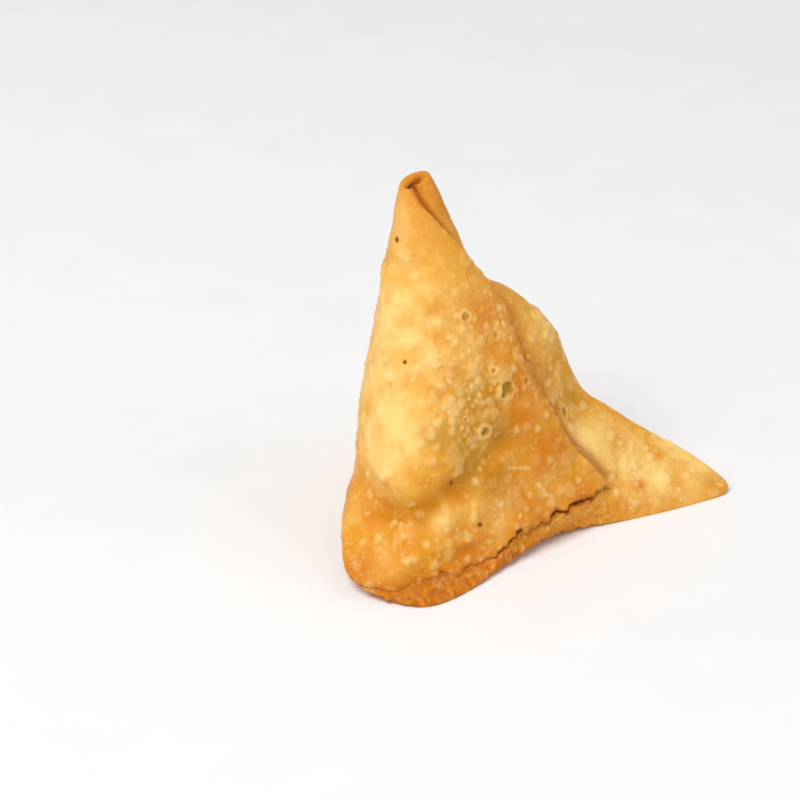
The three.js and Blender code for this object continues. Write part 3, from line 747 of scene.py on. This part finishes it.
def cloud_over(points, layers):
    """Adds browner blotches where the crust isn't pale, and pale clouds where the crust is neither browned
    nor painted in shade.
    """
    blotch = smooth(mixed_noise(points, 4.5, 1.8, 81), -0.2, 1)
    layers["toast_and_shade"] = np.maximum(layers["toast_and_shade"], BLOTCH * blotch * (1 - 0.85 * layers["pale"]))
    cloud = smooth(mixed_noise(points, 3.5, 1.5, 85), 0.1, 0.9)
    clouded = CLOUD * cloud * (1 - layers["toast_and_shade"])
    layers["pale"] = np.clip(layers["pale"] * (1 - 0.2 * blotch) + clouded, 0, 1)


def deep_shade(points, direction, height, ahead):
    """How dark the painted shade is along the flap's edge, on the lip and on the crack's torn rim."""
    opened = np.minimum(crack_depth(direction), 1)
    groove = bell(ahead, groove_width(height)) * (1 - 0.75 * bell(height - SEAM_FADES_AT, 3.5))
    beside = BESIDE_SHADE * bell(ahead - 1.5, 1) * (1 - smooth(height, BELLY, MIDDLE))
    line = np.maximum(SEAM_SHADE * groove, beside) * smooth(height, FLANGE - 1, FLANGE + 2)
    lip = LIP_SHADE * (height < crack_at(direction)) * opened * (1 - smooth(direction, *LIP_SHADE_END))
    lip = lip * (0.8 + 0.9 * value_noise(points, 1.1, 93))
    pitted = 0.75 + 0.45 * value_noise(points, 1.4, 91)
    rim = pitted * bell(height - crack_at(direction) - 0.4, 0.9) * opened * (height < WAIST)
    return np.maximum(np.maximum(line, lip), RIM_SHADE * rim)


def on_skin(bearing, level):
    """The place on the skin at a bearing and height, flap and swellings included."""
    bearing, level = np.float64(bearing), np.float64(level)
    return place(bearing, level, skin_radius(bearing, level))


def grid_mesh(name, points):
    """One closed mesh of the rows, with a fan under the base and one at the end of the hollow."""
    rows, columns = points.shape[:2]
    index = np.arange(rows * columns).reshape(rows, columns)
    low, high = index[:-1], index[1:]
    quads = np.stack([low, np.roll(low, -1, 1), np.roll(high, -1, 1), high], axis=-1).reshape(-1, 4)
    first, last = points[0].mean(axis=0), points[-1].mean(axis=0)
    under, end = rows * columns, rows * columns + 1
    fan_low = [(under, b, a) for a, b in zip(index[0], np.roll(index[0], -1))]
    fan_high = [(end, a, b) for a, b in zip(index[-1], np.roll(index[-1], -1))]
    mesh = bpy.data.meshes.new(name)
    vertices = np.vstack([points.reshape(-1, 3), first, last]) * MM
    mesh.from_pydata(vertices.tolist(), [], quads.tolist() + fan_low + fan_high)
    mesh.validate()
    mesh.shade_smooth()
    piece = bpy.data.objects.new(name, mesh)
    bpy.context.scene.collection.objects.link(piece)
    return piece


def node(tree, kind, inputs=None, **settings):
    """Adds a node with its settings, and its inputs as values or as sockets to link from."""
    added = tree.nodes.new(kind)
    for name, value in settings.items():
        setattr(added, name, value)
    for name, value in (inputs or {}).items():
        if isinstance(value, bpy.types.NodeSocket):
            tree.links.new(value, added.inputs[name])
        else:
            added.inputs[name].default_value = value
    return added


def blended(tree, share, below, above):
    """The colour between two colours at a share."""
    mix = node(tree, "ShaderNodeMix", {0: share, 6: below, 7: above}, data_type="RGBA")
    return mix.outputs[2]


def fried_dough(colours):
    """Deep-fried wheat dough: dry pale blisters and waxy golden crust with a thin film of oil."""
    material = bpy.data.materials.new("fried_wheat_dough")
    material.use_nodes = True
    tree = material.node_tree
    tree.nodes.clear()
    shade = {key: (*getattr(colours, key), 1) for key in PALETTE}
    mark = {key: node(tree, "ShaderNodeAttribute", attribute_name=key).outputs["Fac"] for key in MARKS}
    place_in = node(tree, "ShaderNodeTexCoord").outputs["Object"]

    def lumps(size_mm, detail=2.0, low=0.35, high=0.65):
        """Noise with lumps of a real size, stretched to run from 0 to 1."""
        texture = node(tree, "ShaderNodeTexNoise", {"Vector": place_in, "Scale": 1 / (size_mm * MM),
                                                    "Detail": detail, "Roughness": 0.55})
        return node(tree, "ShaderNodeMapRange", {"Value": texture.outputs["Fac"], "From Min": low,
                                                 "From Max": high}).outputs["Result"]

    def combine(operation, first, second):
        return node(tree, "ShaderNodeMath", {0: first, 1: second}, operation=operation).outputs[0]

    mottle, grain, fleck = lumps(2.6), lumps(0.5, 3), lumps(1.1, 2, 0.52, 0.7)
    cells = node(tree, "ShaderNodeTexVoronoi", {"Vector": place_in, "Scale": 1 / (1.2 * MM)})
    bubble = node(tree, "ShaderNodeMapRange", {"Value": cells.outputs["Distance"], "From Min": 0.45,
                                               "From Max": 0.15}).outputs["Result"]
    bubble = combine("MULTIPLY", bubble, lumps(5, 1, 0.45, 0.62))

    colour = blended(tree, combine("MULTIPLY", lumps(9), 0.25), shade["golden"], shade["pale"])
    # Unbrowned dough and painted highlight, in the pale colour
    colour = blended(tree, combine("MULTIPLY", mark["pale"], 0.9), colour, shade["pale"])
    # Browned dough and painted shade, in the toasted colour
    colour = blended(tree, combine("MULTIPLY", mark["toast_and_shade"], 0.9), colour, shade["brown_and_shade"])
    # Olive tone and painted shade, in the olive colour
    colour = blended(tree, combine("MULTIPLY", mark["olive"], 0.9), colour, shade["olive"])
    fleck = combine("MULTIPLY", fleck, combine("SUBTRACT", 0.3, combine("MULTIPLY", mark["pale"], 0.3)))
    colour = blended(tree, fleck, colour, shade["brown_and_shade"])
    colour = blended(tree, combine("MULTIPLY", mottle, 0.06), colour, shade["pale"])
    colour = blended(tree, combine("MULTIPLY", bubble, 0.22), colour, shade["blister"])
    patchy = node(tree, "ShaderNodeMapRange", {"Value": grain, "To Min": 0.5, "To Max": 0.85})
    film = combine("MULTIPLY", mark["blister"], patchy.outputs["Result"])
    colour = blended(tree, film, colour, shade["blister"])
    colour = blended(tree, mark["crater"], colour, shade["crater"])
    # Painted shade in the crack and the roll's hollow, along the flap's edge and on the lip
    colour = blended(tree, mark["painted_shade"], colour, shade["deep_shade"])
    colour = blended(tree, mark["seed"], colour, shade["seed"])

    height = combine("ADD", combine("MULTIPLY", bubble, 0.5), combine("MULTIPLY", grain, 0.25))
    dragged = combine("MULTIPLY", mark["drag"], combine("MULTIPLY", mark["pale"], 0.25))
    height = combine("ADD", height, dragged)
    relief = node(tree, "ShaderNodeBump", {"Height": height, "Strength": 0.6, "Distance": 0.25 * MM})
    sheen = node(tree, "ShaderNodeMapRange", {"Value": mottle, "To Min": 0.38, "To Max": 0.55})
    surface = node(tree, "ShaderNodeBsdfPrincipled", {
        "Base Color": colour, "Roughness": sheen.outputs["Result"], "IOR": 1.46,
        "Normal": relief.outputs["Normal"], "Subsurface Weight": 0.15,
        "Subsurface Radius": (1.0, 0.5, 0.15), "Subsurface Scale": 1.2 * MM,
        "Specular IOR Level": 0.12})
    node(tree, "ShaderNodeOutputMaterial", {"Surface": surface.outputs["BSDF"]})
    return material


class SAMOSA_OT_studio(bpy.types.Operator):
    """Adds the pale floor, the soft lights, the white room and the camera"""
    bl_idname = "samosa.studio"
    bl_label = "Add the studio"

    def execute(self, context):
        look = context.scene.samosa_look
        scene = context.scene
        add_floor()
        add_room(look.sky)
        aim = Vector(AIM) * MM
        add_camera(scene, aim, direction_to(look.azimuth, look.elevation), look.distance)
        add_light("key", aim, KEY_LIGHT, look.key_power)
        add_light("fill", aim, FILL_LIGHT, look.fill_power)
        scene.view_settings.view_transform = "Standard"
        return {"FINISHED"}


def direction_to(azimuth, elevation):
    """The direction to something at an azimuth from the front and an elevation."""
    flat = math.cos(elevation)
    return Vector((math.sin(azimuth) * flat, -math.cos(azimuth) * flat, math.sin(elevation)))


def add_camera(scene, aim, back, distance):
    """A camera with the photograph's angle and framing."""
    camera = bpy.data.cameras.new("camera")
    camera.sensor_width, camera.lens = SENSOR, LENS
    camera.clip_start, camera.clip_end = 0.01, 20
    stand = bpy.data.objects.new("camera", camera)
    side = Vector((0, 0, 1)).cross(back).normalized()
    stand.matrix_world = Matrix.Translation(aim + back * distance) @ Matrix(
        (side, back.cross(side), back)).transposed().to_4x4()
    scene.collection.objects.link(stand)
    scene.camera = stand


def add_light(name, aim, light, power):
    """A soft round light that faces the samosa."""
    azimuth, elevation, distance, size = light
    toward = direction_to(math.radians(azimuth), math.radians(elevation))
    lamp = bpy.data.lights.new(name, "AREA")
    lamp.shape, lamp.size, lamp.energy = "DISK", size, power
    stand = bpy.data.objects.new(name, lamp)
    stand.location = aim + toward * distance
    stand.rotation_euler = toward.to_track_quat("Z", "Y").to_euler()
    bpy.context.scene.collection.objects.link(stand)


def add_room(brightness):
    """An even white room."""
    world = bpy.data.worlds.new("white_room")
    world.use_nodes = True
    background = world.node_tree.nodes["Background"]
    background.inputs["Color"].default_value = (1, 1, 1, 1)
    background.inputs["Strength"].default_value = brightness
    bpy.context.scene.world = world


def add_floor():
    """A round sheet of matt white paper under the samosa."""
    mesh = bpy.data.meshes.new("floor")
    turns = np.linspace(0, 2 * math.pi, FLOOR_SIDES, endpoint=False)
    ring = [(FLOOR_RADIUS * math.cos(a), FLOOR_RADIUS * math.sin(a), 0) for a in turns]
    mesh.from_pydata(ring, [], [list(range(FLOOR_SIDES))])
    floor = bpy.data.objects.new("floor", mesh)
    bpy.context.scene.collection.objects.link(floor)
    material = bpy.data.materials.new("matt_white_paper")
    material.use_nodes = True
    surface = material.node_tree.nodes["Principled BSDF"]
    grain = node(material.node_tree, "ShaderNodeTexNoise", {"Scale": 400.0, "Detail": 3.0})
    tone = node(material.node_tree, "ShaderNodeMapRange", {"Value": grain.outputs["Fac"], "To Min": 0.86,
                                                           "To Max": 0.9})
    material.node_tree.links.new(tone.outputs["Result"], surface.inputs["Base Color"])
    surface.inputs["Roughness"].default_value = 0.9
    mesh.materials.append(material)


class SAMOSA_PT_panel(bpy.types.Panel):
    """Lists the operators and their values"""
    bl_idname = "SAMOSA_PT_panel"
    bl_label = "Samosa"
    bl_space_type = "VIEW_3D"
    bl_region_type = "UI"
    bl_category = "Samosa"

    def draw(self, context):
        for operator, group in ((SAMOSA_OT_crust, "samosa_shape"), (SAMOSA_OT_crust, "samosa_colours"),
                                (SAMOSA_OT_studio, "samosa_look")):
            box = self.layout.box()
            box.operator(operator.bl_idname)
            values = getattr(context.scene, group)
            for name in values.bl_rna.properties.keys():
                if name not in ("rna_type", "name"):
                    box.prop(values, name)


GROUPS = {"samosa_shape": CrustShape, "samosa_colours": CrustColours, "samosa_look": StudioLook}
CLASSES = (*GROUPS.values(), SAMOSA_OT_crust, SAMOSA_OT_studio, SAMOSA_PT_panel)


def register():
    for added in CLASSES:
        bpy.utils.register_class(added)
    for name, group in GROUPS.items():
        setattr(bpy.types.Scene, name, bpy.props.PointerProperty(type=group))


def unregister():
    for name in GROUPS:
        delattr(bpy.types.Scene, name)
    for added in reversed(CLASSES):
        bpy.utils.unregister_class(added)


def main():
    register()
    bpy.ops.samosa.crust()
    bpy.ops.samosa.studio()


if __name__ == "__main__":
    main()
